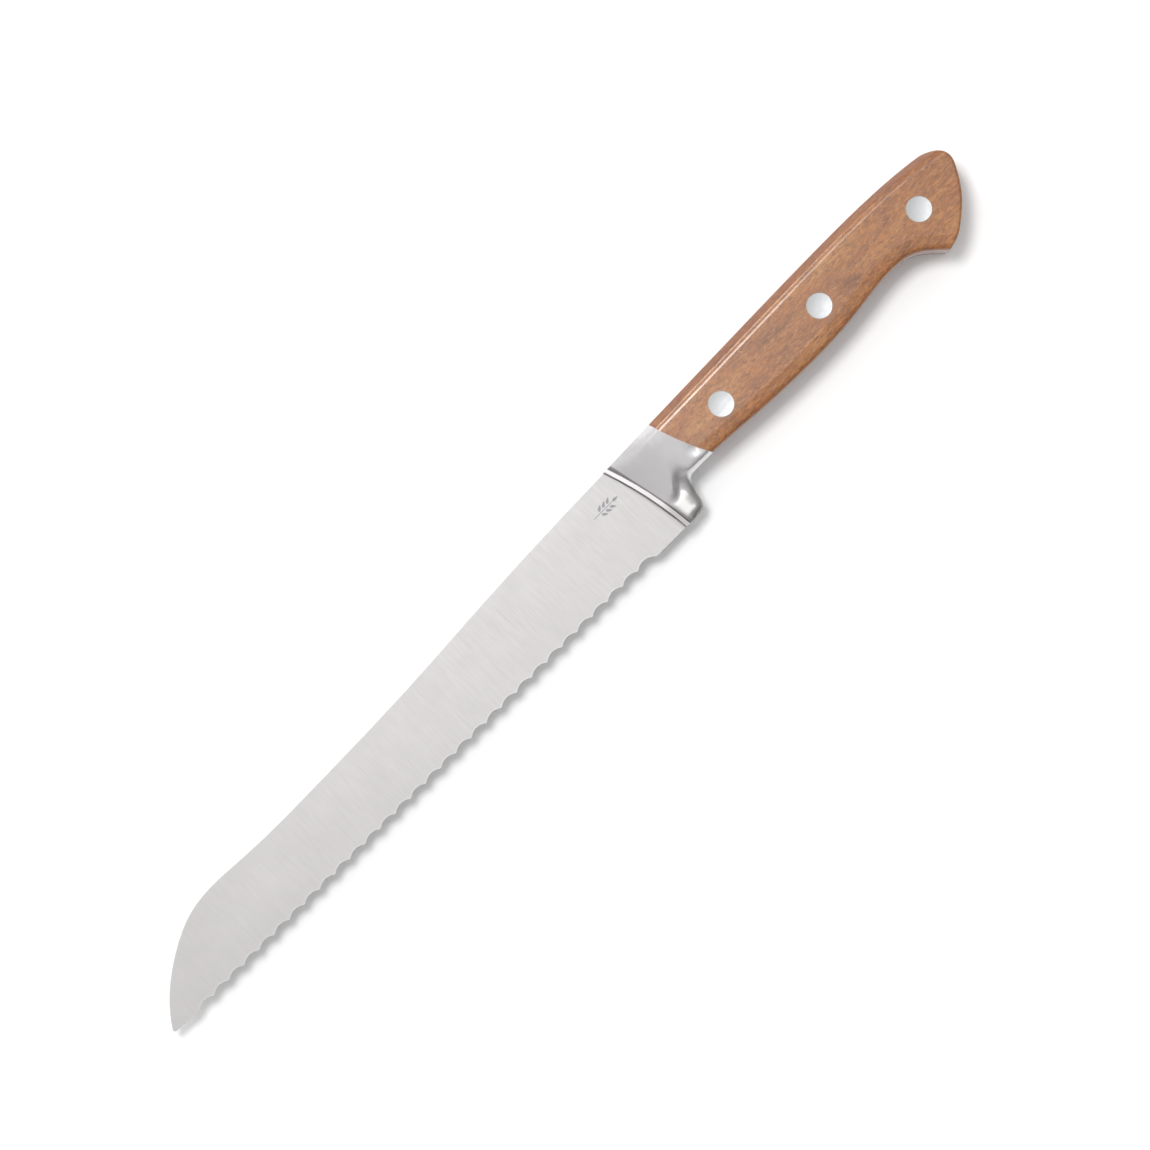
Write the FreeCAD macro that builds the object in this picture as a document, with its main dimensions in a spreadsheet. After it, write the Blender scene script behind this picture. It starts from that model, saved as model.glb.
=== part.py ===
import FreeCAD, Part
import math
import os
import Sketcher
from FreeCAD import Placement, Rotation, Vector

# A bread knife lying on its right side, in millimetres.
# While the pieces are drawn, X runs from the tip of the blade towards the butt of the handle,
# Y from the cutting edge towards the spine, and Z is zero on the middle plane of the blade.
# Each finished piece is then moved so that the origin is under the middle of the whole knife.

os.makedirs("parts", exist_ok=True)
doc = FreeCAD.newDocument("bread_knife")

SIZES = {
    "blade_length": 200.0,         # tip of the blade to the ridge of the bolster, along the spine
    "blade_height": 26.6,          # edge line to spine, at the bolster
    "nose_height": 22.5,           # edge line to spine, above the nose curve
    "heel_drop": 0.6,              # how far the plain heel stands below the line of the teeth
    "spine_thickness": 2.5,
    "edge_thickness": 0.5,
    "tip_thinning": 0.0005,        # loss of half thickness for each millimetre towards the tip
    "tooth_count": 30,
    "tooth_pitch": 6.083,
    "tooth_depth": 1.2,
    "first_tooth": 12.3,           # tip of the blade to the middle of the first hollow
    "bevel_angle": 20.0,           # slope of the ground hollows against the blade's side
    "knife_length": 331.0,
    "handle_thickness": 18.0,
    "handle_height": 28.9,         # edge line to the highest point of the handle
    "belly_height": 7.1,           # edge line to the lowest point of the belly
    "bolster_length": 17.0,        # ridge to wood, along the spine
    "ridge_width": 2.1,
    "ridge_thickness": 4.8,
    "heel_thickness": 4.6,
    "step_width": 3.0,             # width of the rolled lower edge of the bolster's cheek
    "guard_step": 0.5,             # how far the guard stays below the wood where they meet
    "rest_width": 2.2,             # width of the rounding along the finger rest
    "tang_thickness": 2.5,
    "strip_width": 2.3,            # flat bevel along the spine of the handle
    "strip_depth": 3.0,
    "strip_blend": 2.6,            # radius between that bevel and the side of the handle
    "facet_width": 4.2,            # slight fall of the handle's side towards the belly
    "facet_depth": 0.35,
    "belly_radius": 2.0,
    "butt_radius": 0.8,
    "rivet_head": 7.5,
    "rivet_head_height": 1.6,
    "rivet_barrel": 5.0,
    "rivet_pin": 3.2,
    "pin_gap": 0.4,                # air between the end of the pin and the bottom of its barrel
    "first_rivet": 235.6,          # tip of the blade to the first rivet
    "rivet_spacing": 39.15,
    "rivet_height": 17.0,          # edge line to the middle of a rivet
    "rear_rivet_drop": 0.6,        # the last rivet sits this much lower
}

sheet = doc.addObject("Spreadsheet::Sheet", "sizes")
for row, (alias, value) in enumerate(SIZES.items(), start=1):
    sheet.set(f"A{row}", alias)
    sheet.set(f"B{row}", str(value))
    sheet.setAlias(f"B{row}", alias)
doc.recompute()


def size(alias):
    return float(getattr(sheet, alias))


BLADE = size("blade_length")
HALF = size("handle_thickness") / 2
HALF_TANG = size("tang_thickness") / 2
HIGH = size("handle_height")
BELLY = size("belly_height")
HEEL = -size("heel_drop")
JOINT = BLADE + size("bolster_length")
KNIFE = size("knife_length")
HANDLE = KNIFE - JOINT

CENTRE = Vector(-KNIFE / 2, -(HIGH + HEEL) / 2, HALF)


# ---------------------------------------------------------------- curves shared by the pieces

def smooth_curve(points):
    curve = Part.BSplineCurve()
    curve.interpolate([Vector(x, y, 0) for x, y in points])
    return curve


def arc_through(first, middle, last):
    return Part.Arc(Vector(*first, 0), Vector(*middle, 0), Vector(*last, 0))


def line_between(first, last):
    return Part.LineSegment(Vector(*first, 0), Vector(*last, 0))


def piece_of(curve, x_start, x_end):
    """The stretch of a left-to-right curve between two values of X."""
    part = curve.copy()
    part.segment(parameter_at(curve, x_start), parameter_at(curve, x_end))
    return part


def parameter_at(curve, x):
    low, high = curve.FirstParameter, curve.LastParameter
    for _ in range(60):
        middle = (low + high) / 2
        if curve.value(middle).x < x:
            low = middle
        else:
            high = middle
    return (low + high) / 2


def height_at(curve, x):
    return curve.value(parameter_at(curve, x)).y


# The spine of the handle, drawn a little past the butt, which is trimmed later.
spine = smooth_curve([
    (BLADE - 12, size("blade_height") - 0.15),
    (JOINT, HIGH - 1.55),
    (JOINT + 0.28 * HANDLE, HIGH - 0.75),
    (JOINT + 0.60 * HANDLE, HIGH - 0.02),
    (JOINT + 0.78 * HANDLE, HIGH - 0.22),
    (JOINT + 0.93 * HANDLE, HIGH - 1.65),
    (KNIFE + 6, HIGH - 4.6),
])

# The belly of the handle and the front of its hook, drawn past the point of the hook.
BELLY_FRONT = JOINT + 0.065 * HANDLE
belly = smooth_curve([
    (BELLY_FRONT - 9, BELLY + 1.75),
    (BELLY_FRONT, BELLY + 1.85),
    (JOINT + 0.24 * HANDLE, BELLY + 0.55),
    (JOINT + 0.39 * HANDLE, BELLY),
    (JOINT + 0.56 * HANDLE, BELLY + 0.95),
    (JOINT + 0.715 * HANDLE, BELLY + 2.45),
    (JOINT + 0.76 * HANDLE, BELLY + 1.45),
    (JOINT + 0.80 * HANDLE, BELLY - 1.5),
    (JOINT + 0.90 * HANDLE, BELLY - 10.5),
])

# The joint between bolster and wood, an arc from spine to belly that leans back as it goes down.
JOINT_TOP = (JOINT, height_at(spine, JOINT))
JOINT_FOOT = (BELLY_FRONT, height_at(belly, BELLY_FRONT))
JOINT_BOW = 0.75


def bow_of(height, top, foot, bow):
    """X of a bowed line at a height: straight from top to foot, and bowed towards the tip."""
    along = (top[1] - height) / (top[1] - foot[1])
    return top[0] + (foot[0] - top[0]) * along - 4 * bow * along * (1 - along)


RIDGE_TOP = (BLADE - 1.7, size("blade_height"))
RIDGE_FOOT = (BLADE + 4.1, HEEL)


def ridge_front(height):
    return bow_of(height, RIDGE_TOP, RIDGE_FOOT, -0.9)


def joint_line(height):
    return bow_of(height, JOINT_TOP, JOINT_FOOT, JOINT_BOW)


def joint_arc():
    middle = (JOINT_TOP[1] + JOINT_FOOT[1]) / 2
    return arc_through(JOINT_TOP, (joint_line(middle), middle), JOINT_FOOT)


# ---------------------------------------------------------------- helpers for the document

def origin_plane(body, role):
    return next(item for item in body.Origin.OriginFeatures if item.Role == role)


def new_body(name):
    body = doc.addObject("PartDesign::Body", name)
    body.Label = name
    return body


def new_sketch(body, name, plane="XY_Plane", offset=None):
    sketch = body.newObject("Sketcher::SketchObject", name)
    sketch.AttachmentSupport = [(origin_plane(body, plane), "")]
    sketch.MapMode = "FlatFace"
    if offset:
        sketch.AttachmentOffset = offset
    return sketch


def bind(item, **expressions):
    for prop, expression in expressions.items():
        item.setExpression(prop, expression)


def add_closed(sketch, curves):
    for curve in curves:
        sketch.addGeometry(curve, False)


def add_circle(sketch, x_expression, y_expression, diameter_expression):
    """A circle whose centre and diameter all come from the sheet."""
    number = sketch.addGeometry(Part.Circle(Vector(1, 1, 0), Vector(0, 0, 1), 1.0), False)
    for kind, arguments, expression in (
        ("DistanceX", (-1, 1, number, 3, 1.0), x_expression),
        ("DistanceY", (-1, 1, number, 3, 1.0), y_expression),
        ("Diameter", (number, 2.0), diameter_expression),
    ):
        index = sketch.addConstraint(Sketcher.Constraint(kind, *arguments))
        sketch.setExpression(f"Constraints[{index}]", expression)


def finish(item, label):
    item.Label = label
    item.Placement = Placement(CENTRE, Rotation())
    return item


def edges_where(shape, test):
    return [f"Edge{number}" for number, edge in enumerate(shape.Edges, start=1) if test(edge)]


def middle_of(edge):
    return edge.valueAt((edge.FirstParameter + edge.LastParameter) / 2)


# ---------------------------------------------------------------- the blade

def build_blade():
    body = new_body("blade")
    nose = size("nose_height")
    tall = size("blade_height")
    back = BLADE + 4
    first_hollow = size("first_tooth")
    nose_edge = first_hollow - size("tooth_pitch") / 2
    upper = smooth_curve([
        (0.0, 1.3),
        (0.028 * BLADE, 0.365 * nose),
        (0.085 * BLADE, 0.745 * nose),
        (0.128 * BLADE, 0.925 * nose),
        (0.180 * BLADE, nose),
        (0.240 * BLADE, nose - 0.5),
        (0.400 * BLADE, nose - 0.75),
        (0.580 * BLADE, nose + 0.3),
        (0.750 * BLADE, tall - 1.75),
        (0.920 * BLADE, tall - 0.3),
        (back, tall + 0.15),
    ])
    outline = new_sketch(body, "blade_outline")
    add_closed(outline, [
        upper,
        line_between((back, tall + 0.15), (back, HEEL)),
        line_between((back, HEEL), (first_hollow, HEEL)),
        line_between((first_hollow, HEEL), (first_hollow, 0)),
        line_between((first_hollow, 0), (nose_edge, 0)),
        line_between((nose_edge, 0), (1.2, 0.45)),
        arc_through((1.2, 0.45), (0.35, 0.62), (0.0, 1.3)),
    ])
    pad = body.newObject("PartDesign::Pad", "blade_plate")
    pad.Profile = outline
    pad.Midplane = True
    bind(pad, Length="sizes.spine_thickness")

    # Both sides are ground flat from the spine to the edge, and a little thinner towards the tip.
    flank = new_sketch(body, "flank_section", "YZ_Plane")
    edge_half = size("edge_thickness") / 2
    spine_half = size("spine_thickness") / 2
    rise = (spine_half - edge_half) / tall
    low, high = -6.0, tall + 6.0
    add_closed(flank, [
        line_between((low, edge_half + rise * low), (high, edge_half + rise * high)),
        line_between((high, edge_half + rise * high), (high, spine_half + 3)),
        line_between((high, spine_half + 3), (low, spine_half + 3)),
        line_between((low, spine_half + 3), (low, edge_half + rise * low)),
    ])
    flank.AttachmentOffset = Placement(Vector(0, 0, back), Rotation())
    grind = body.newObject("PartDesign::Pocket", "flank_grind")
    grind.Profile = flank
    grind.UseCustomVector = True
    grind.Direction = Vector(-1, 0, -size("tip_thinning"))
    grind.AlongSketchNormal = False
    grind.Length = back + 5
    doc.recompute()
    if abs(grind.Shape.Volume - pad.Shape.Volume) < 1:
        grind.Reversed = True
        doc.recompute()
    mirrored = body.newObject("PartDesign::Mirrored", "flank_grind_right")
    mirrored.Originals = [grind]
    mirrored.MirrorPlane = (origin_plane(body, "XY_Plane"), [""])
    body.Tip = mirrored
    doc.recompute()

    # One hollow of the toothed edge is a slanting cylinder ground into the right side only.
    slope = math.radians(size("bevel_angle"))
    reach = size("tooth_pitch") / 2
    bite = size("tooth_depth") * math.sin(slope)
    radius = (reach * reach + bite * bite) / (2 * bite)
    left_side = edge_half + rise * size("tooth_depth") - size("tip_thinning") * (back - first_hollow)
    start = Vector(first_hollow, size("tooth_depth"), left_side)
    centre = start + Vector(0, -math.sin(slope), -math.cos(slope)) * radius
    hollow = new_sketch(body, "hollow_circle", "XZ_Plane")
    follow_thinning = Rotation(Vector(0, 0, 1), math.degrees(size("tip_thinning")))
    hollow.AttachmentOffset = Placement(
        Vector(centre.x, centre.z, -centre.y),
        follow_thinning.multiply(Rotation(Vector(1, 0, 0), -size("bevel_angle"))))
    hollow.addGeometry(Part.Circle(Vector(0, 0, 0), Vector(0, 0, 1), radius), False)
    groove = body.newObject("PartDesign::Pocket", "tooth_hollow")
    groove.Profile = hollow
    groove.Midplane = True
    groove.Length = 90
    doc.recompute()
    teeth = body.newObject("PartDesign::LinearPattern", "teeth")
    teeth.Originals = [groove]
    teeth.Direction = (hollow, ["H_Axis"])
    bind(teeth, Occurrences="sizes.tooth_count", Length="sizes.tooth_pitch * (sizes.tooth_count - 1)")
    body.Tip = teeth
    doc.recompute()
    return body


# ---------------------------------------------------------------- the bolster

def smooth_step(value):
    value = min(max(value, 0.0), 1.0)
    return value * value * (3 - 2 * value)


def lower_of(first, second, blend):
    """The lower of two heights, with the crease between them rounded off."""
    overlap = max(blend - abs(first - second), 0.0) / blend
    return min(first, second) - overlap * overlap * blend / 4


CHEEK_START = (size("ridge_thickness") - 0.6) / 2
CHEEK_TOP = HALF - 0.03            # a hair below the wood, which keeps the curved skin in one piece
GUARD_START = size("heel_thickness") / 2
GUARD_TOP = HALF - size("facet_depth") - size("guard_step")
GUARD_RISE = BLADE + 12            # where the guard starts to climb towards the wood
CHEEK_FOOT_LOW = 6.3               # height of the cheek's rolled edge where it meets the ridge
CHEEK_FOOT_HIGH = 13.1             # and where it meets the wood
HEEL_END = BLADE + 9.6             # where the flat of the heel ends and the finger rest begins
REST_START = BELLY_FRONT - 7.8     # where the belly ends and the finger rest begins
REST_DEPTH = 1.1                   # fall of the rounding along the finger rest, at the heel


def cheek_foot(x):
    """Height of the cheek's rolled lower edge, an S from the ridge up to the wood."""
    return CHEEK_FOOT_LOW + (CHEEK_FOOT_HIGH - CHEEK_FOOT_LOW) * smooth_step((x - BLADE - 7.5) / 9.5)


# The finger rest, from the belly round the notch and down to the heel.
finger_rest = smooth_curve([
    (REST_START, height_at(belly, REST_START)),
    (BLADE + 15.5, 8.72),
    (BLADE + 14.6, 7.75),
    (BLADE + 13.75, 6.0),
    (BLADE + 13.2, 4.3),
    (BLADE + 12.95, 2.6),
    (BLADE + 12.6, 1.2),
    (BLADE + 11.8, 0.1),
    (BLADE + 10.8, -0.45),
    (HEEL_END, HEEL),
])


def grip_edge_points():
    """The heel, the finger rest and the belly from left to right, as a chain of close points."""
    rest_end = finger_rest.LastParameter
    points = [Vector(BLADE - 6, HEEL, 0)]
    points += [finger_rest.value(rest_end * (1 - number / 80)) for number in range(81)]
    run = JOINT + 12 - REST_START
    for number in range(1, 61):
        x = REST_START + run * number / 60
        points.append(Vector(x, height_at(belly, x), 0))
    return points


grip_edge = grip_edge_points()


def distance_inside(x, y):
    """Distance from the bolster's lower outline, positive inside the metal and negative outside it."""
    closest, inside = 1000.0, 1.0
    for first, last in zip(grip_edge, grip_edge[1:]):
        run_x, run_y = last.x - first.x, last.y - first.y
        away_x, away_y = x - first.x, y - first.y
        along = (away_x * run_x + away_y * run_y) / (run_x * run_x + run_y * run_y)
        along = min(max(along, 0.0), 1.0)
        distance = math.hypot(away_x - along * run_x, away_y - along * run_y)
        if distance < closest:
            closest = distance
            inside = math.copysign(1.0, run_x * away_y - run_y * away_x)
    return closest * inside


def bolster_side(x, y):
    """Half the thickness of the bolster at a place on its side."""
    ridge_back = ridge_front(y) + size("ridge_width")
    left = 1 - (x - ridge_back) / (joint_line(y) - ridge_back)
    cheek = CHEEK_TOP - (CHEEK_TOP - CHEEK_START) * (0.7 * left + 0.3 * left * left)
    climb = smooth_step((x + 0.5 * (y - 5) - GUARD_RISE) / 10)
    guard = lower_of(GUARD_START + (GUARD_TOP - GUARD_START) * climb, cheek, 0.4)
    tilt = (cheek_foot(x + 0.01) - cheek_foot(x - 0.01)) / 0.02
    above_foot = (y - cheek_foot(x)) / math.hypot(1, tilt)
    roll = smooth_step(above_foot / size("step_width"))
    side = guard + (cheek - guard) * roll
    near = 1 - distance_inside(x, y) / size("rest_width")
    near = min(max(near, 0.0), 1.6)
    side -= (REST_DEPTH + 0.13 * guard) * near * near * smooth_step((x - BLADE - 5) / 5)
    down = (height_at(spine, x) - y) / size("strip_width")
    strip = side * (1 + size("strip_depth") / HALF * (down - 1))
    return lower_of(side, strip, 1.1)


def height_surface(height, x_range, y_range, spacing):
    """A smooth surface through the heights of a function over a rectangle."""
    columns = math.ceil((x_range[1] - x_range[0]) / spacing)
    rows = math.ceil((y_range[1] - y_range[0]) / spacing)
    points = []
    for column in range(columns + 1):
        x = x_range[0] + (x_range[1] - x_range[0]) * column / columns
        line = []
        for row in range(rows + 1):
            y = y_range[0] + (y_range[1] - y_range[0]) * row / rows
            line.append(Vector(x, y, height(x, y)))
        points.append(line)
    surface = Part.BSplineSurface()
    surface.interpolate(points)
    return surface.toShape()


def build_bolster():
    top_x = ridge_front(height_at(spine, RIDGE_TOP[0] + 1)) + 1
    wall_top = (top_x, height_at(spine, top_x))
    wall_foot = (RIDGE_FOOT[0] + 1, HEEL)
    middle_y = (wall_top[1] + wall_foot[1]) / 2
    outline = [
        piece_of(spine, top_x, JOINT).toShape(),
        joint_arc().toShape(),
        piece_of(belly, REST_START, BELLY_FRONT).toShape(),
        finger_rest.toShape(),
        line_between((HEEL_END, HEEL), wall_foot).toShape(),
        arc_through(wall_foot, (ridge_front(middle_y) + 1, middle_y), wall_top).toShape(),
    ]
    face = Part.Face(Part.Wire(Part.__sortEdges__(outline)))
    block = face.extrude(Vector(0, 0, 2 * HALF + 4))
    block.translate(Vector(0, 0, -HALF - 2))
    skin = height_surface(bolster_side, (BLADE - 4, JOINT + 9), (-3, HIGH + 1.5), 0.4)
    cutter = skin.extrude(Vector(0, 0, HALF + 4))
    opposite = cutter.mirror(Vector(0, 0, 0), Vector(0, 0, 1))
    return block.cut(cutter).cut(opposite).Solids[0]


def build_ridge():
    """The raised band where the bolster meets the blade, rounded first and then trimmed to height."""
    half = size("ridge_thickness") / 2
    wide = size("ridge_width")
    low, high = HEEL - 2, RIDGE_TOP[1] + 2
    front = [(ridge_front(y), y) for y in (low, (low + high) / 2, high)]
    back = [(x + wide, y) for x, y in front]
    outline = [
        arc_through(*front).toShape(),
        line_between(front[2], back[2]).toShape(),
        arc_through(*back).toShape(),
        line_between(back[0], front[0]).toShape(),
    ]
    face = Part.Face(Part.Wire(Part.__sortEdges__(outline)))
    band = face.extrude(Vector(0, 0, 2 * half))
    band.translate(Vector(0, 0, -half))
    long_edges = [edge for edge in band.Edges if edge.Length > BLADE / 10]
    band = band.makeChamfer(0.45, long_edges)
    left, right = RIDGE_TOP[0] - 6, RIDGE_FOOT[0] + 8
    limits = [
        piece_of(spine, left, right).toShape(),
        line_between((right, height_at(spine, right)), (right, HEEL)).toShape(),
        line_between((right, HEEL), (left, HEEL)).toShape(),
        line_between((left, HEEL), (left, height_at(spine, left))).toShape(),
    ]
    window = Part.Face(Part.Wire(Part.__sortEdges__(limits))).extrude(Vector(0, 0, 4 * half))
    window.translate(Vector(0, 0, -2 * half))
    return band.common(window).Solids[0]


# ---------------------------------------------------------------- the grip: tang and scales

BUTT_START = (KNIFE - 10.5, height_at(spine, KNIFE - 10.5) + 0.7)
BUTT_END = (JOINT + 0.83 * HANDLE, BELLY - 5.9)


def butt_line():
    """The end of the handle, from above its spine down to below the point of its hook."""
    return smooth_curve([
        BUTT_START,
        (KNIFE - 6.4, height_at(spine, KNIFE - 6.4) + 0.06),
        (KNIFE - 3.8, HIGH - 2.8),
        (KNIFE - 1.7, HIGH - 4.25),
        (KNIFE - 0.4, HIGH - 6.0),
        (KNIFE, HIGH - 7.9),
        (KNIFE - 1.2, HIGH - 11.5),
        (KNIFE - 4.7, HIGH - 17.1),
        (KNIFE - 10.6, HIGH - 22.9),
        (KNIFE - 16.2, HIGH - 26.2),
        (KNIFE - 18.0, HIGH - 26.7),
        BUTT_END,
    ])


def grip_blank(body, name):
    """Sketch of the grip from the bolster to past the butt."""
    sketch = new_sketch(body, name)
    last_top = spine.value(spine.LastParameter)
    last_foot = belly.value(belly.LastParameter)
    corner = (last_top.x, last_foot.y)
    add_closed(sketch, [
        piece_of(spine, JOINT, last_top.x),
        line_between((last_top.x, last_top.y), corner),
        line_between(corner, (last_foot.x, last_foot.y)),
        piece_of(belly, BELLY_FRONT, last_foot.x),
        joint_arc(),
    ])
    return sketch


def cut_butt(body):
    sketch = new_sketch(body, "butt_trim")
    outside = KNIFE + 12
    above = (BUTT_START[0], HIGH + 6)
    below = (BUTT_END[0], -14)
    add_closed(sketch, [
        butt_line(),
        line_between(BUTT_END, below),
        line_between(below, (outside, below[1])),
        line_between((outside, below[1]), (outside, above[1])),
        line_between((outside, above[1]), above),
        line_between(above, BUTT_START),
    ])
    trim = body.newObject("PartDesign::Pocket", "butt_cut")
    trim.Profile = sketch
    trim.Midplane = True
    trim.Length = 60
    body.Tip = trim
    doc.recompute()
    return trim


def butt_edge_test():
    """A test that picks the edges round the outer face of the butt."""
    curve = butt_line()
    places = [curve.value(curve.LastParameter * number / 4000) for number in range(4001)]

    def is_on_line(spot):
        return min(math.hypot(spot.x - place.x, spot.y - place.y) for place in places) < 0.05

    def test(edge):
        first, last = edge.FirstParameter, edge.LastParameter
        outer = abs(middle_of(edge).z) > HALF_TANG + 1.5
        along_face = abs(edge.tangentAt((first + last) / 2).z) < 0.98
        if not outer or not along_face:
            return False
        return all(is_on_line(edge.valueAt(first + (last - first) * step / 4)) for step in range(5))

    return test


RIVETS = ("front", "middle", "rear")


def rivet_expressions(index):
    drop = " - sizes.rear_rivet_drop" if index == 2 else ""
    return f"sizes.first_rivet + {index} * sizes.rivet_spacing", f"sizes.rivet_height{drop}"


def rivet_place(index):
    drop = size("rear_rivet_drop") if index == 2 else 0
    return size("first_rivet") + index * size("rivet_spacing"), size("rivet_height") - drop


def rivet_circles(body, name, diameter):
    sketch = new_sketch(body, name)
    for index in range(len(RIVETS)):
        across, up = rivet_expressions(index)
        add_circle(sketch, across, up, f"sizes.{diameter}")
    return sketch


def build_tang():
    body = new_body("tang")
    pad = body.newObject("PartDesign::Pad", "tang_plate")
    pad.Profile = grip_blank(body, "tang_outline")
    pad.Midplane = True
    bind(pad, Length="sizes.tang_thickness")
    doc.recompute()
    cut_butt(body)
    holes = body.newObject("PartDesign::Pocket", "tang_holes")
    holes.Profile = rivet_circles(body, "tang_hole_circles", "rivet_barrel")
    holes.Midplane = True
    holes.Length = 20
    body.Tip = holes
    doc.recompute()
    return body


def build_scale(name, side):
    """One wooden scale; side is +1 for the left scale, above, and -1 for the right one, below."""
    body = new_body(name)
    outline = grip_blank(body, name + "_outline")
    outline.AttachmentOffset = Placement(Vector(0, 0, side * HALF_TANG), Rotation())
    pad = body.newObject("PartDesign::Pad", name + "_block")
    pad.Profile = outline
    pad.Reversed = side < 0
    bind(pad, Length="(sizes.handle_thickness - sizes.tang_thickness) / 2")
    doc.recompute()

    def long_edge(shape, depth, height):
        """The long edge at a depth from the outer face, near a height, half way along."""
        def matches(edge):
            point = middle_of(edge)
            at_depth = abs(point.z - side * (HALF - depth)) < 0.05
            return edge.Length > 60 and at_depth and abs(point.y - height) < 1.0
        return edges_where(shape, matches)

    def dress(kind, feature_name, base, edges, **expressions):
        feature = body.newObject("PartDesign::" + kind, feature_name)
        feature.Base = (base, edges)
        bind(feature, **expressions)
        body.Tip = feature
        doc.recompute()
        return feature

    def bevel(feature_name, base, edges, width, depth, height):
        """A chamfer with its width on the outer face and its depth on the edge wall."""
        feature = body.newObject("PartDesign::Chamfer", feature_name)
        feature.Base = (base, edges)
        feature.ChamferType = "Two distances"
        bind(feature, Size="sizes." + width, Size2="sizes." + depth)
        body.Tip = feature
        doc.recompute()
        if not long_edge(feature.Shape, size(depth), height):
            feature.FlipDirection = True
            doc.recompute()
        return feature

    spine_middle = height_at(spine, JOINT + HANDLE / 2)
    belly_middle = height_at(belly, JOINT + HANDLE / 2)
    strip = bevel(
        name + "_strip", pad, long_edge(pad.Shape, 0, spine_middle),
        "strip_width", "strip_depth", spine_middle)
    blend = dress(
        "Fillet", name + "_strip_blend", strip,
        long_edge(strip.Shape, 0, spine_middle - size("strip_width")), Radius="sizes.strip_blend")
    facet = bevel(
        name + "_facet", blend, long_edge(blend.Shape, 0, belly_middle),
        "facet_width", "facet_depth", belly_middle)
    dress(
        "Fillet", name + "_belly", facet, long_edge(facet.Shape, size("facet_depth"), belly_middle),
        Radius="sizes.belly_radius")
    trim = cut_butt(body)
    dress(
        "Fillet", name + "_butt", trim, edges_where(trim.Shape, butt_edge_test()),
        Radius="sizes.butt_radius")

    through = body.newObject("PartDesign::Pocket", name + "_holes")
    through.Profile = rivet_circles(body, name + "_hole_circles", "rivet_barrel")
    through.Midplane = True
    through.Length = 40
    body.Tip = through
    doc.recompute()

    seats = rivet_circles(body, name + "_seat_circles", "rivet_head")
    seats.AttachmentOffset = Placement(Vector(0, 0, side * HALF), Rotation())
    sunk = body.newObject("PartDesign::Pocket", name + "_seats")
    sunk.Profile = seats
    sunk.Reversed = side < 0
    bind(sunk, Length="sizes.rivet_head_height")
    body.Tip = sunk
    doc.recompute()
    return body


# ---------------------------------------------------------------- the rivets

def round_part(body, name, diameter, start, length):
    """Adds or cuts a cylinder that starts below the head's outer face and goes down."""
    kind = "PartDesign::Pocket" if name.endswith("bore") else "PartDesign::Pad"
    sketch = new_sketch(body, name + "_circle")
    sketch.AttachmentOffset = Placement(Vector(0, 0, -start), Rotation())
    add_circle(sketch, "0", "0", diameter)
    feature = body.newObject(kind, name)
    feature.Profile = sketch
    feature.Reversed = kind.endswith("Pad")
    bind(feature, Length=length)
    body.Tip = feature
    doc.recompute()
    return feature


def build_rivet_half(place_name, index, female):
    """Half a press rivet, drawn hanging down from the outer face of its head."""
    name = f"{place_name}_rivet_{'socket' if female else 'pin'}"
    body = new_body(name)
    head = size("rivet_head_height")
    inside = "(sizes.handle_thickness - 2 * sizes.rivet_head_height)"
    round_part(body, name + "_head", "sizes.rivet_head", 0, "sizes.rivet_head_height")
    if female:
        round_part(body, name + "_barrel", "sizes.rivet_barrel", head, inside)
        round_part(body, name + "_bore", "sizes.rivet_pin", head + 2, inside + " - 2")
    else:
        round_part(body, name + "_stem", "sizes.rivet_pin", head, inside + " - 2 - sizes.pin_gap")
    whole = body.Tip
    rim = edges_where(whole.Shape, lambda item: abs(middle_of(item).z) < 0.001)
    ease = body.newObject("PartDesign::Fillet", name + "_ease")
    ease.Base = (whole, rim)
    ease.Radius = 0.12
    body.Tip = ease
    doc.recompute()
    across, up = rivet_place(index)
    turn = Rotation() if female else Rotation(Vector(1, 0, 0), 180)
    body.Placement = Placement(CENTRE + Vector(across, up, HALF if female else -HALF), turn)
    return body


# ---------------------------------------------------------------- the forging

def part_feature(name, shape):
    feature = doc.addObject("Part::Feature", name)
    feature.Shape = shape
    return feature


def build_forging():
    """Blade, ridge, bolster and tang are one forging, so they are fused into one solid."""
    pieces = [
        build_blade(),
        part_feature("ridge", build_ridge()),
        part_feature("bolster", build_bolster()),
        build_tang(),
    ]
    forging = doc.addObject("Part::MultiFuse", "forging")
    forging.Shapes = pieces
    doc.recompute()
    return finish(forging, "forging")


forging = build_forging()
kept = [forging]
kept.append(finish(build_scale("left_scale", 1), "left_scale"))
kept.append(finish(build_scale("right_scale", -1), "right_scale"))
for index, place_name in enumerate(RIVETS):
    kept.append(build_rivet_half(place_name, index, True))
    kept.append(build_rivet_half(place_name, index, False))
doc.recompute()

faults = [item.Name for item in doc.Objects if "Invalid" in item.State or "Error" in item.State]
for item in kept:
    shape = item.Shape
    if shape.isNull() or not shape.isValid() or len(shape.Solids) != 1:
        faults.append(item.Label)
if faults:
    raise RuntimeError("these did not build: " + ", ".join(faults))
for item in kept:
    item.Shape.exportStep(f"parts/{item.Label}.step")
    print(f"{item.Label}: {item.Shape.Volume:.0f} mm3")
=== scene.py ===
import math
import bmesh
import bpy
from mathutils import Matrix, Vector
from mathutils.bvhtree import BVHTree


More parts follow.
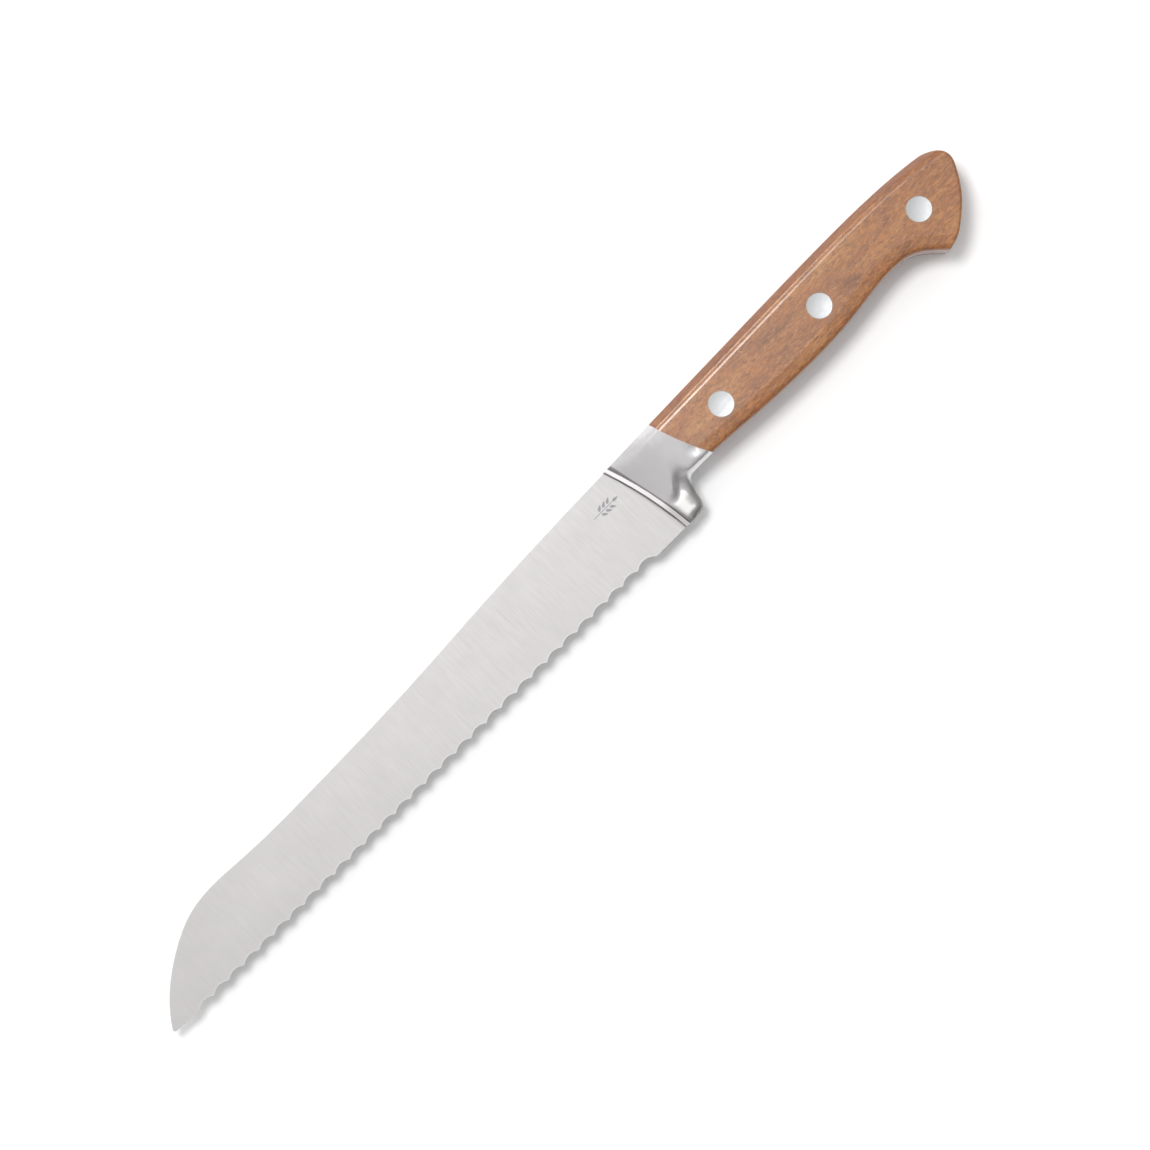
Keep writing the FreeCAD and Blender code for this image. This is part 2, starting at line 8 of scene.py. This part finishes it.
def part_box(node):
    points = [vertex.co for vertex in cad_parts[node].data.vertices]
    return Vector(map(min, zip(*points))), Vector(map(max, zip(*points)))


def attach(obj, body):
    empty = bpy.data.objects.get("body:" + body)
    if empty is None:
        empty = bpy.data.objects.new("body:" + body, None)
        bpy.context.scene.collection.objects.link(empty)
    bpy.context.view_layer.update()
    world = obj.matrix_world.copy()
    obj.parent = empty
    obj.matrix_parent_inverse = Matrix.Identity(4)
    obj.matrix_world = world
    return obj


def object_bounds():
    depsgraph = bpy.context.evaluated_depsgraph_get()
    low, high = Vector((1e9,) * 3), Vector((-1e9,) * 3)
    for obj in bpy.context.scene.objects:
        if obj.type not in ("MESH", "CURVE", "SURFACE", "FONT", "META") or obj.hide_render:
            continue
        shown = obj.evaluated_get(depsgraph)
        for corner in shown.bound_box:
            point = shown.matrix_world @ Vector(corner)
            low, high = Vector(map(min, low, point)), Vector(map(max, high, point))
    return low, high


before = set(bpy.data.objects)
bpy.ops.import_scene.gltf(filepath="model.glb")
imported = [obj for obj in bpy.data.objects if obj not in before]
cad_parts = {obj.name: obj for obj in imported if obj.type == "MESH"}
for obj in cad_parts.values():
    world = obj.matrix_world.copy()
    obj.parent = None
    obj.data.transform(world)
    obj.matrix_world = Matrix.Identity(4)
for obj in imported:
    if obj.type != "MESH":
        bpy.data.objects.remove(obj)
cad_low, cad_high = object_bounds()
MM = 0.001

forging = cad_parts["forging"]
grip_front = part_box("left_scale")[0][0]

# The ridge between blade and bolster
RIDGE_AT = grip_front - 15.4 * MM      # X of the ridge's blade side, half way up the blade
RIDGE_SLANT = 0.21                     # how far the ridge leans back for each step down
RIDGE_HALF_WIDTH = 1.1 * MM

# The guard below the bolster's cheek, which gets painted shade, starts between these two heights, given as
# Y
GUARD_SHADE_FULL = -9 * MM
GUARD_SHADE_START = -5 * MM

RIVET_HEAD_RADIUS = 3.75 * MM
RIVET_DISH_DEPTH = 0.16 * MM

# The etched ear of wheat
EMBLEM_LENGTH = 9.5 * MM
EMBLEM_CENTRE = (grip_front - 25 * MM, 5.2 * MM)
ETCH_PROUD = 0.015 * MM
ETCH_SUNK = 0.05 * MM

# Studio: places in metres, power in watts
FLOOR_SIDE = 40.0
FLOOR_GAP = 0.05 * MM                  # air between the floor and the knife
KEY = {"location": (0.02, 0.36, 1.25), "side": 0.3, "power": 9.0}
RIM = {"location": (0.10, 0.95, 0.50), "side": 0.25, "power": 2.2}
SKY_STRENGTH = 0.72

# Camera: it looks straight down
FRAMED_WIDTH = 0.3259                  # width of the picture at the knife, in metres
FRAMED_CENTRE = (6.8 * MM, -2.1 * MM)
FRAMED_HEIGHT = 12 * MM                # height above the floor where that width is measured
LENS = 135
SENSOR_WIDTH = 36


# ---------------------------------------------------------------- node helpers

def new_material(name):
    """A material with only a shader in it. Returns the material, its nodes and the shader."""
    material = bpy.data.materials.new(name)
    material.use_nodes = True
    tree = material.node_tree
    shader = next(item for item in tree.nodes if item.type == "BSDF_PRINCIPLED")
    return material, tree, shader


def node(tree, kind, inputs=None, **settings):
    """A new node. inputs gives each input socket a number, a colour or another node's output."""
    made = tree.nodes.new(kind)
    for key, value in settings.items():
        setattr(made, key, value)
    for key, value in (inputs or {}).items():
        if isinstance(value, bpy.types.NodeSocket):
            tree.links.new(value, made.inputs[key])
        else:
            made.inputs[key].default_value = value
    return made


def colour(red, green, blue):
    """A colour given as 0 to 255 in sRGB, turned to the linear values that a shader takes."""
    linear = []
    for level in (red, green, blue):
        level /= 255
        linear.append(level / 12.92 if level <= 0.04045 else ((level + 0.055) / 1.055) ** 2.4)
    return (*linear, 1.0)


def maths(tree, operation, first, second=0.0, clamp=False):
    made = node(tree, "ShaderNodeMath", {0: first, 1: second}, operation=operation, use_clamp=clamp)
    return made.outputs[0]


def ramp(tree, value, stops):
    """Maps a value through (position, colour) stops."""
    made = node(tree, "ShaderNodeValToRGB", {"Fac": value})
    elements = made.color_ramp.elements
    while len(elements) < len(stops):
        elements.new(0.5)
    for element, (position, tint) in zip(elements, stops):
        element.position = position
        element.color = tint
    return made.outputs["Color"]


def mix(tree, factor, first, second, blend="MIX"):
    made = node(tree, "ShaderNodeMix", data_type="RGBA", blend_type=blend)
    for number, value in ((0, factor), (6, first), (7, second)):
        if isinstance(value, bpy.types.NodeSocket):
            tree.links.new(value, made.inputs[number])
        else:
            made.inputs[number].default_value = value
    return made.outputs[2]


def spread(tree, value, low, high, out_low=0.0, out_high=1.0):
    """Maps a value from one range to another, and stops at the ends."""
    made = node(tree, "ShaderNodeMapRange",
                {"Value": value, "From Min": low, "From Max": high, "To Min": out_low, "To Max": out_high})
    return made.outputs["Result"]


def stretched(tree, grain_x, grain_y, grain_z):
    """The object's own coordinates, scaled so that 1 is one grain along each axis, in metres."""
    place = node(tree, "ShaderNodeTexCoord")
    scale = (1 / grain_x, 1 / grain_y, 1 / grain_z)
    return node(tree, "ShaderNodeMapping", {"Vector": place.outputs["Object"], "Scale": scale}).outputs[0]


def noise(tree, vector, detail=2.0, roughness=0.5, distortion=0.0):
    made = node(tree, "ShaderNodeTexNoise", {
        "Vector": vector, "Scale": 1.0, "Detail": detail, "Roughness": roughness, "Distortion": distortion})
    return made.outputs["Fac"]


def edge_mask(tree, radius):
    """About 1 close to a sharp edge and 0 away from it."""
    rounded = node(tree, "ShaderNodeBevel", {"Radius": radius}, samples=6)
    true = node(tree, "ShaderNodeNewGeometry")
    aligned = node(tree, "ShaderNodeVectorMath", {0: rounded.outputs[0], 1: true.outputs["True Normal"]},
                   operation="DOT_PRODUCT")
    return spread(tree, aligned.outputs["Value"], 0.99, 0.8)


def bump(tree, height, strength, distance):
    inputs = {"Height": height, "Strength": strength, "Distance": distance}
    return node(tree, "ShaderNodeBump", inputs).outputs[0]


def connect(tree, value, shader, socket):
    tree.links.new(value, shader.inputs[socket])


# ---------------------------------------------------------------- materials

def forged_steel():
    """Satin ground blade, brighter ground teeth and a polished bolster, all on one forging."""
    material, tree, shader = new_material("forged_steel")
    place = node(tree, "ShaderNodeTexCoord").outputs["Object"]
    axes = node(tree, "ShaderNodeSeparateXYZ", {0: place})
    slant = maths(tree, "MULTIPLY", axes.outputs["Y"], RIDGE_SLANT)
    from_ridge = maths(tree, "SUBTRACT", maths(tree, "ADD", axes.outputs["X"], slant), RIDGE_AT)

    # The blade is ground across its width, and the bolster is buffed along the knife
    across = noise(tree, stretched(tree, 0.12 * MM, 7 * MM, 7 * MM), 3, 0.6)
    lengthwise = noise(tree, stretched(tree, 5 * MM, 0.16 * MM, 0.16 * MM), 3, 0.6)
    on_bolster = spread(tree, from_ridge, -0.2 * MM, 0.2 * MM)
    lines = mix(tree, on_bolster, across, lengthwise)
    cloud = noise(tree, stretched(tree, 22 * MM, 9 * MM, 9 * MM), 3, 0.5)
    handled = noise(tree, stretched(tree, 6 * MM, 5 * MM, 5 * MM), 4, 0.62)

    # Painted shade darkens the guard and the ridge against the cheek, and sharp edges are worn lighter
    satin = mix(tree, cloud, colour(172, 170, 169), colour(180, 178, 177))
    polished = mix(tree, handled, colour(218, 216, 217), colour(226, 224, 225))
    guard_shade = spread(tree, axes.outputs["Y"], GUARD_SHADE_FULL, GUARD_SHADE_START, 0.75, 0.0)
    polished = mix(tree, guard_shade, polished, colour(146, 145, 141))
    base = mix(tree, on_bolster, satin, polished)
    from_crest = maths(tree, "ABSOLUTE", maths(tree, "SUBTRACT", from_ridge, RIDGE_HALF_WIDTH))
    # Painted shade: a darker band along the ridge's crease
    ridge_shade = spread(tree, from_crest, RIDGE_HALF_WIDTH, RIDGE_HALF_WIDTH + 0.3 * MM, 0.7, 0.0)
    base = mix(tree, ridge_shade, base, colour(118, 113, 114))
    base = mix(tree, spread(tree, lines, 0.35, 0.65, 0.0, 0.08), base, colour(150, 150, 154))
    worn = edge_mask(tree, 0.35 * MM)
    base = mix(tree, maths(tree, "MULTIPLY", worn, 0.2), base, colour(225, 225, 225))
    connect(tree, base, shader, "Base Color")

    satin_rough = spread(tree, lines, 0.3, 0.7, 0.48, 0.58)
    polished_rough = spread(tree, handled, 0.3, 0.75, 0.32, 0.38)
    rough = node(tree, "ShaderNodeMix", data_type="FLOAT")
    tree.links.new(on_bolster, rough.inputs[0])
    tree.links.new(satin_rough, rough.inputs[2])
    tree.links.new(polished_rough, rough.inputs[3])
    connect(tree, rough.outputs[0], shader, "Roughness")
    connect(tree, bump(tree, lines, 0.12, 0.004 * MM), shader, "Normal")
    shader.inputs["Metallic"].default_value = 1.0
    return material


def oiled_wood():
    """Open-pored brown wood with its grain along the knife."""
    material, tree, shader = new_material("oiled_wood")

    # Each layer is noise stretched along the knife, from broad bands down to single pores
    warp = noise(tree, stretched(tree, 40 * MM, 9 * MM, 9 * MM), 2, 0.5)
    place = stretched(tree, 24 * MM, 5 * MM, 5 * MM)
    bent = node(tree, "ShaderNodeVectorMath", {0: place, 1: warp}, operation="ADD").outputs[0]
    bands = noise(tree, bent, 4, 0.55, 0.6)
    mottle = noise(tree, stretched(tree, 9 * MM, 4 * MM, 4 * MM), 3, 0.6, 0.8)
    streaks = noise(tree, stretched(tree, 7 * MM, 0.45 * MM, 0.45 * MM), 3, 0.65)
    fibres = noise(tree, stretched(tree, 2.4 * MM, 0.12 * MM, 0.12 * MM), 2, 0.7)
    pores = noise(tree, stretched(tree, 1.9 * MM, 0.24 * MM, 0.24 * MM), 2, 0.5)
    flecks = noise(tree, stretched(tree, 1.9 * MM, 0.7 * MM, 0.7 * MM), 3, 0.6, 0.9)

    base = ramp(tree, bands, [
        (0.30, colour(100, 55, 24)),
        (0.42, colour(131, 79, 36)),
        (0.56, colour(148, 95, 45)),
        (0.70, colour(166, 117, 68)),
    ])
    base = mix(tree, spread(tree, mottle, 0.42, 0.66, 0.0, 0.55), base, colour(158, 92, 34))
    base = mix(tree, spread(tree, flecks, 0.51, 0.64, 0.0, 0.60), base, colour(92, 52, 28))
    base = mix(tree, spread(tree, flecks, 0.48, 0.36, 0.0, 0.40), base, colour(182, 129, 76))
    base = mix(tree, spread(tree, streaks, 0.50, 0.70, 0.0, 0.40), base, colour(118, 76, 54))
    base = mix(tree, spread(tree, fibres, 0.40, 0.75, 0.0, 0.20), base, colour(186, 140, 100))
    dark = spread(tree, pores, 0.60, 0.68, 0.0, 0.55)
    base = mix(tree, dark, base, colour(74, 46, 32))

    # Painted shade: faces turned towards the spine or the belly are painted redder and darker than the flat
    # sides
    normal = node(tree, "ShaderNodeNewGeometry").outputs["Normal"]
    facing = node(tree, "ShaderNodeSeparateXYZ", {0: normal})
    side_face_shade = maths(tree, "ABSOLUTE", facing.outputs["Y"])
    base = mix(tree, spread(tree, side_face_shade, 0.45, 0.8, 0.0, 0.5), base, colour(116, 60, 30))
    worn = edge_mask(tree, 0.5 * MM)
    base = mix(tree, maths(tree, "MULTIPLY", worn, 0.25), base, colour(206, 160, 126))
    connect(tree, base, shader, "Base Color")

    rough = spread(tree, streaks, 0.3, 0.7, 0.26, 0.40)
    connect(tree, rough, shader, "Roughness")
    height = maths(tree, "SUBTRACT", maths(tree, "MULTIPLY", fibres, 0.3), dark)
    connect(tree, bump(tree, height, 0.35, 0.05 * MM), shader, "Normal")
    shader.inputs["Coat Weight"].default_value = 0.55
    shader.inputs["Coat Roughness"].default_value = 0.2
    return material


def turned_metal(name, centre):
    """Bright rivet metal with fine rings round the middle of its head, which is slightly dished."""
    material, tree, shader = new_material(name)
    place = node(tree, "ShaderNodeTexCoord").outputs["Object"]
    offset = node(tree, "ShaderNodeVectorMath", {0: place, 1: centre}, operation="SUBTRACT").outputs[0]
    flat = node(tree, "ShaderNodeVectorMath", {0: offset, 1: (1, 1, 0)}, operation="MULTIPLY").outputs[0]
    radius = node(tree, "ShaderNodeVectorMath", {0: flat}, operation="LENGTH").outputs["Value"]
    rings = noise(tree, node(tree, "ShaderNodeCombineXYZ", {
        "X": maths(tree, "MULTIPLY", radius, 1 / (0.12 * MM))}).outputs[0], 2, 0.6)
    scuffs = noise(tree, stretched(tree, 1.5 * MM, 1.2 * MM, 1.2 * MM), 4, 0.6)
    base = mix(tree, scuffs, colour(160, 161, 162), colour(166, 167, 167))
    rim = spread(tree, radius, 3.35 * MM, 3.8 * MM, 0.0, 0.45)
    base = mix(tree, rim, base, colour(150, 146, 140))
    base = mix(tree, spread(tree, rings, 0.35, 0.7, 0.0, 0.10), base, colour(176, 178, 182))
    connect(tree, base, shader, "Base Color")
    connect(tree, spread(tree, scuffs, 0.3, 0.7, 0.42, 0.52), shader, "Roughness")
    share = maths(tree, "MULTIPLY", radius, 1 / RIVET_HEAD_RADIUS)
    dish = maths(tree, "MULTIPLY", share, share)
    height = maths(tree, "ADD", dish, maths(tree, "MULTIPLY", rings, 0.003))
    connect(tree, bump(tree, height, 1.0, RIVET_DISH_DEPTH), shader, "Normal")
    shader.inputs["Metallic"].default_value = 1.0
    return material


def etched_grey():
    """The dull grey that an acid mark leaves on steel."""
    material, tree, shader = new_material("etched_grey")
    speckle = noise(tree, stretched(tree, 0.12 * MM, 0.12 * MM, 0.12 * MM), 3, 0.7)
    base = mix(tree, speckle, colour(120, 120, 124), colour(152, 152, 156))
    connect(tree, base, shader, "Base Color")
    connect(tree, spread(tree, speckle, 0.3, 0.7, 0.5, 0.65), shader, "Roughness")
    connect(tree, bump(tree, speckle, 0.2, 0.01 * MM), shader, "Normal")
    shader.inputs["Metallic"].default_value = 0.7
    return material


def dress(item, material):
    item.data.materials.clear()
    item.data.materials.append(material)


steel = forged_steel()
wood = oiled_wood()
dress(forging, steel)
for name in ("left_scale", "right_scale"):
    dress(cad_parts[name], wood)
for place_name in ("front", "middle", "rear"):
    socket = place_name + "_rivet_socket"
    low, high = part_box(socket)
    centre = tuple((a + b) / 2 for a, b in zip(low, high))
    metal = turned_metal(place_name + "_rivet_metal", centre)
    for half in ("socket", "pin"):
        dress(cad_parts[f"{place_name}_rivet_{half}"], metal)


# ---------------------------------------------------------------- a small etched ear of wheat

def grain_outline(centre, length, width, angle, points=14):
    """A pointed oval lying at an angle."""
    outline = []
    for number in range(points):
        turn = 2 * math.pi * number / points
        x = math.cos(turn) * length / 2
        y = math.sin(turn) * width / 2 * (1 - 0.45 * math.cos(turn))
        outline.append((
            centre[0] + x * math.cos(angle) - y * math.sin(angle),
            centre[1] + x * math.sin(angle) + y * math.cos(angle),
        ))
    return outline


def wheat_ear():
    """Outlines of a stem, three pairs of grains, and one grain at the end."""
    step = EMBLEM_LENGTH / 6
    front = EMBLEM_CENTRE[0] - EMBLEM_LENGTH / 2
    middle = EMBLEM_CENTRE[1]
    half = 0.11 * MM
    stem = [(front, middle - half), (front + 4.6 * step, middle - half),
            (front + 4.6 * step, middle + half), (front, middle + half)]
    outlines = [stem]
    for pair in range(3):
        for side in (-1, 1):
            centre = (front + (2.1 + pair) * step, middle + side * 1.15 * MM)
            outlines.append(grain_outline(centre, 1.9 * MM, 0.75 * MM, side * math.radians(38)))
    outlines.append(grain_outline((front + 5.3 * step, middle), 2.0 * MM, 0.8 * MM, 0.0))
    return outlines


def blade_height_under(x, y):
    """Height of the blade's upper side at a place, found by looking straight down."""
    hit = steel_tree.ray_cast(Vector((x, y, cad_high[2] + 0.01)), Vector((0, 0, -1)))[0]
    return hit.z


steel_mesh = bmesh.new()
steel_mesh.from_mesh(forging.data)
steel_tree = BVHTree.FromBMesh(steel_mesh)
steel_mesh.free()

marks = bmesh.new()
for outline in wheat_ear():
    tops = [marks.verts.new((x, y, blade_height_under(x, y) + ETCH_PROUD)) for x, y in outline]
    bottoms = [marks.verts.new((x, y, blade_height_under(x, y) - ETCH_SUNK)) for x, y in outline]
    marks.faces.new(tops)
    marks.faces.new(list(reversed(bottoms)))
    for number in range(len(tops)):
        after = (number + 1) % len(tops)
        marks.faces.new([tops[number], bottoms[number], bottoms[after], tops[after]])
bmesh.ops.recalc_face_normals(marks, faces=marks.faces)
emblem_mesh = bpy.data.meshes.new("etched_wheat_ear")
marks.to_mesh(emblem_mesh)
marks.free()
emblem = bpy.data.objects.new("etched_wheat_ear", emblem_mesh)
bpy.context.scene.collection.objects.link(emblem)
dress(emblem, etched_grey())
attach(emblem, "root")


# ---------------------------------------------------------------- floor, light and camera

def build_floor():
    bpy.ops.mesh.primitive_plane_add(size=FLOOR_SIDE, location=(0, 0, cad_low[2] - FLOOR_GAP))
    floor = bpy.context.object
    floor.name = "floor"
    material, tree, shader = new_material("floor_white")
    shader.inputs["Base Color"].default_value = (0.93, 0.93, 0.93, 1)
    shader.inputs["Roughness"].default_value = 0.9
    dress(floor, material)


def add_area(name, location, side, power):
    data = bpy.data.lights.new(name, "AREA")
    data.shape = "SQUARE"
    data.size = side
    data.energy = power
    light = bpy.data.objects.new(name, data)
    light.location = location
    aim = Vector((0, 0, 0)) - Vector(location)
    light.rotation_euler = aim.to_track_quat("-Z", "Y").to_euler()
    bpy.context.scene.collection.objects.link(light)


def build_world():
    """Light overhead and on the spine's side, and dark low down on the edge's side."""
    world = bpy.data.worlds.new("studio")
    world.use_nodes = True
    tree = world.node_tree
    background = next(item for item in tree.nodes if item.type == "BACKGROUND")
    way = node(tree, "ShaderNodeSeparateXYZ", {0: node(tree, "ShaderNodeTexCoord").outputs["Generated"]})
    rise = maths(tree, "MULTIPLY", way.outputs["Z"], 0.65)
    lean = maths(tree, "MULTIPLY", way.outputs["Y"], 0.35)
    level = maths(tree, "ADD", maths(tree, "ADD", rise, lean), 0.35)
    greys = [(0.0, 0.10), (0.35, 0.50), (0.6, 0.90), (1.0, 1.20)]
    sky = ramp(tree, level, [(place, (grey, grey, grey, 1)) for place, grey in greys])
    tree.links.new(sky, background.inputs["Color"])
    background.inputs["Strength"].default_value = SKY_STRENGTH
    bpy.context.scene.world = world


def build_camera():
    """Straight above, turned so that the tip points to the lower left."""
    data = bpy.data.cameras.new("camera")
    data.lens = LENS
    data.sensor_width = SENSOR_WIDTH
    distance = FRAMED_WIDTH * LENS / SENSOR_WIDTH
    camera = bpy.data.objects.new("camera", data)
    camera.location = (*FRAMED_CENTRE, distance + FRAMED_HEIGHT)
    camera.rotation_euler = (0, 0, math.radians(-45))
    bpy.context.scene.collection.objects.link(camera)
    bpy.context.scene.camera = camera


build_floor()
build_world()
add_area("key", **KEY)
add_area("rim", **RIM)
build_camera()
bpy.context.scene.view_settings.view_transform = "Standard"
